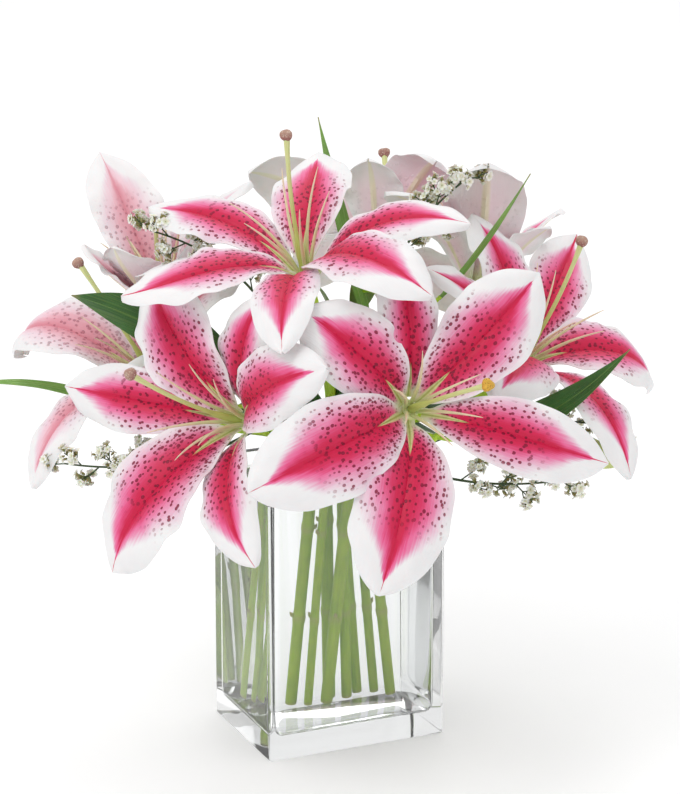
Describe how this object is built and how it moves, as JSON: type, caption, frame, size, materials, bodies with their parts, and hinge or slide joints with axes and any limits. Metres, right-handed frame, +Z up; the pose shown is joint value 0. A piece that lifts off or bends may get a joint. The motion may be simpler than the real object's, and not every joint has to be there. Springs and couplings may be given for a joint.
{
  "type": "lilies in a vase",
  "caption": "Cut pink and white lilies with leaves, a bud and white filler sprigs, standing in a rectangular clear glass vase of water.",
  "frame": {"origin": "centre of the vase's flat underside", "axes": "+Z up; X along the vase's wide side, with the wide front pane facing -Y"},
  "size_m": [0.3515, 0.3369, 0.3444],
  "materials": {
    "clear_glass": "polished",
    "clear_water": "polished",
    "green_stem": "fresh plant stem, satin",
    "green_leaf": "fresh leaf, satin",
    "pink_petal": "fresh petal, soft matt, white edges, crimson midrib and dark spots",
    "pale_green_pistil": "fresh plant tissue, satin",
    "yellow_green_bud": "fresh bud, satin",
    "white_filler": "small dry florets, matt"
  },
  "bodies": {
    "root": {"vase": "clear_glass", "water": "clear_water", "heart_front": "pale_green_pistil", "stem_front": "green_stem", "tepal_front_upper": "pink_petal", "tepal_front_upper_left": "pink_petal", "tepal_front_left": "pink_petal", "tepal_front_lower": "pink_petal", "tepal_front_right": "pink_petal", "tepal_front_upper_right": "pink_petal", "heart_left": "pale_green_pistil", "stem_left": "green_stem", "tepal_left_upper": "pink_petal", "tepal_left_left": "pink_petal", "tepal_left_lower_left": "pink_petal", "tepal_left_lower": "pink_petal", "tepal_left_right": "pink_petal", "tepal_left_upper_right": "pink_petal", "heart_top": "pale_green_pistil", "stem_top": "green_stem", "tepal_top_left": "pink_petal", "tepal_top_upper_left": "pink_petal", "tepal_top_upper": "pink_petal", "tepal_top_right": "pink_petal", "tepal_top_lower_right": "pink_petal", "tepal_top_lower": "pink_petal", "heart_back_left": "pale_green_pistil", "stem_back_left": "green_stem", "tepals_back_left_inner": "pink_petal", "tepals_back_left_outer": "pink_petal", "heart_far_left": "pale_green_pistil", "stem_far_left": "green_stem", "tepals_far_left_inner": "pink_petal", "tepals_far_left_outer": "pink_petal", "heart_back": "pale_green_pistil", "stem_back": "green_stem", "tepals_back_inner": "pink_petal", "tepals_back_outer": "pink_petal", "heart_back_right": "pale_green_pistil", "stem_back_right": "green_stem", "tepals_back_right_inner": "pink_petal", "tepals_back_right_outer": "pink_petal", "heart_right": "pale_green_pistil", "stem_right": "green_stem", "tepals_right_inner": "pink_petal", "tepals_right_outer": "pink_petal", "leaf_left": "green_leaf", "leaf_thin_left": "green_leaf", "leaf_top": "green_leaf", "grass_right": "green_leaf", "leaf_right": "green_leaf", "leaf_middle_left": "green_leaf", "leaf_middle_right": "green_leaf", "bud_right": "yellow_green_bud", "sprig_upper_left": "white_filler", "sprig_left": "white_filler", "sprig_middle": "white_filler", "sprig_top": "white_filler", "sprig_right": "white_filler", "sprig_low": "white_filler"}
  },
  "joints": []
}
